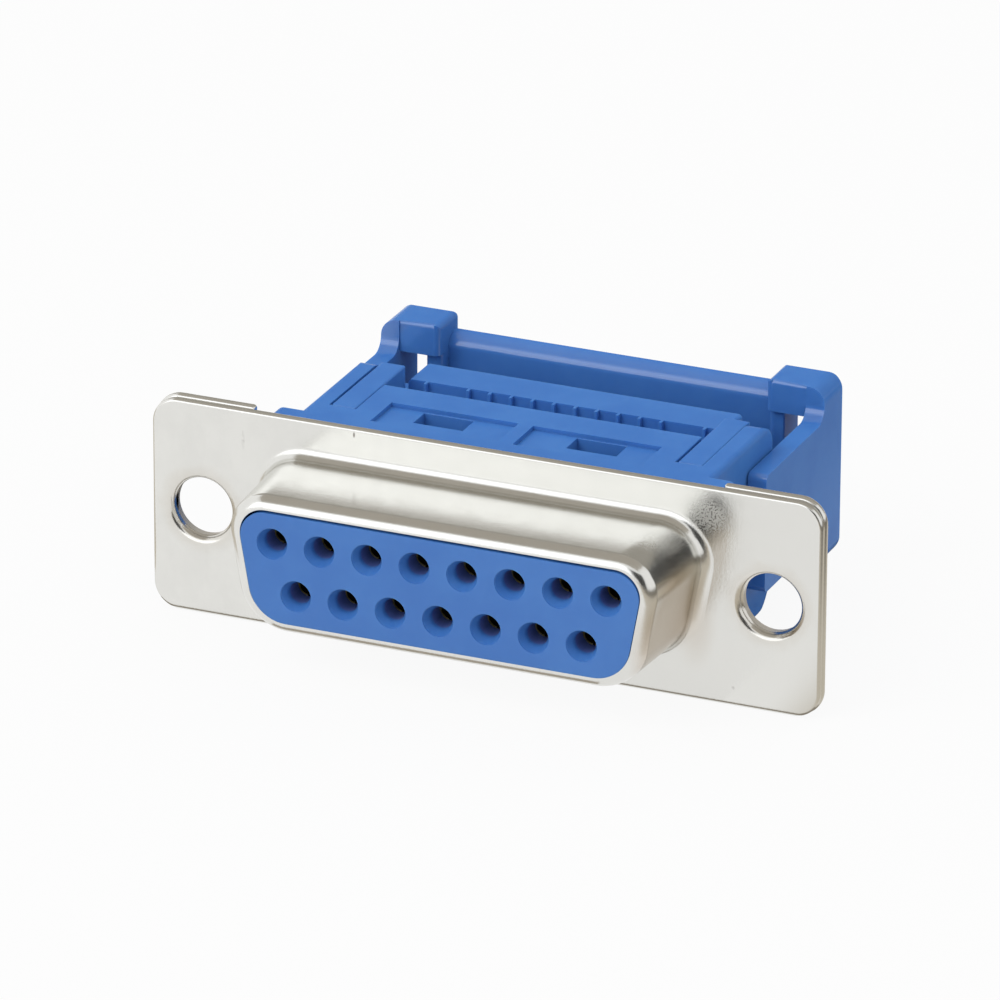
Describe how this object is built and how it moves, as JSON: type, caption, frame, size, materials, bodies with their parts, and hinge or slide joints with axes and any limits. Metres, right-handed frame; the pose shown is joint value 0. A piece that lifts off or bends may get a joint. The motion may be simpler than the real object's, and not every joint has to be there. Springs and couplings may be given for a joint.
{
  "type": "d-sub ribbon cable socket connector",
  "caption": "Flat-cable socket connector with a D-shaped steel nose and flange, blue moulded housing, press-on cover and sliding strain relief.",
  "frame": {"origin": "middle of the flange's front face, halfway between the two panel holes", "axes": "+X along the flange, +Y from the panel back into the body and towards the cable end, +Z from the narrow row to the wide row"},
  "size_m": [0.0392, 0.0253, 0.0126],
  "materials": {
    "plated_steel": "drawn sheet steel, satin tin or nickel plating with light handling marks",
    "blue_plastic": "moulded blue thermoplastic, semi-gloss",
    "contact_gold": "gold-flashed copper alloy"
  },
  "bodies": {
    "connector_body": {"front_shell": "plated_steel", "rear_plate_left": "plated_steel", "rear_plate_right": "plated_steel", "housing": "blue_plastic", "contact_1": "contact_gold", "contact_2": "contact_gold", "contact_3": "contact_gold", "contact_4": "contact_gold", "contact_5": "contact_gold", "contact_6": "contact_gold", "contact_7": "contact_gold", "contact_8": "contact_gold", "contact_9": "contact_gold", "contact_10": "contact_gold", "contact_11": "contact_gold", "contact_12": "contact_gold", "contact_13": "contact_gold", "contact_14": "contact_gold", "contact_15": "contact_gold"},
    "cover": {"cover": "blue_plastic"},
    "strain_relief": {"strain_relief": "blue_plastic"}
  },
  "joints": [
    {"name": "cover_slide", "type": "slide", "parent": "connector_body", "child": "cover", "axis": [0, 1, 0], "range_m": [0, 0.002]},
    {"name": "strain_relief_slide", "type": "slide", "parent": "connector_body", "child": "strain_relief", "axis": [0, 1, 0], "range_m": [-0.0012, 0.005]}
  ]
}
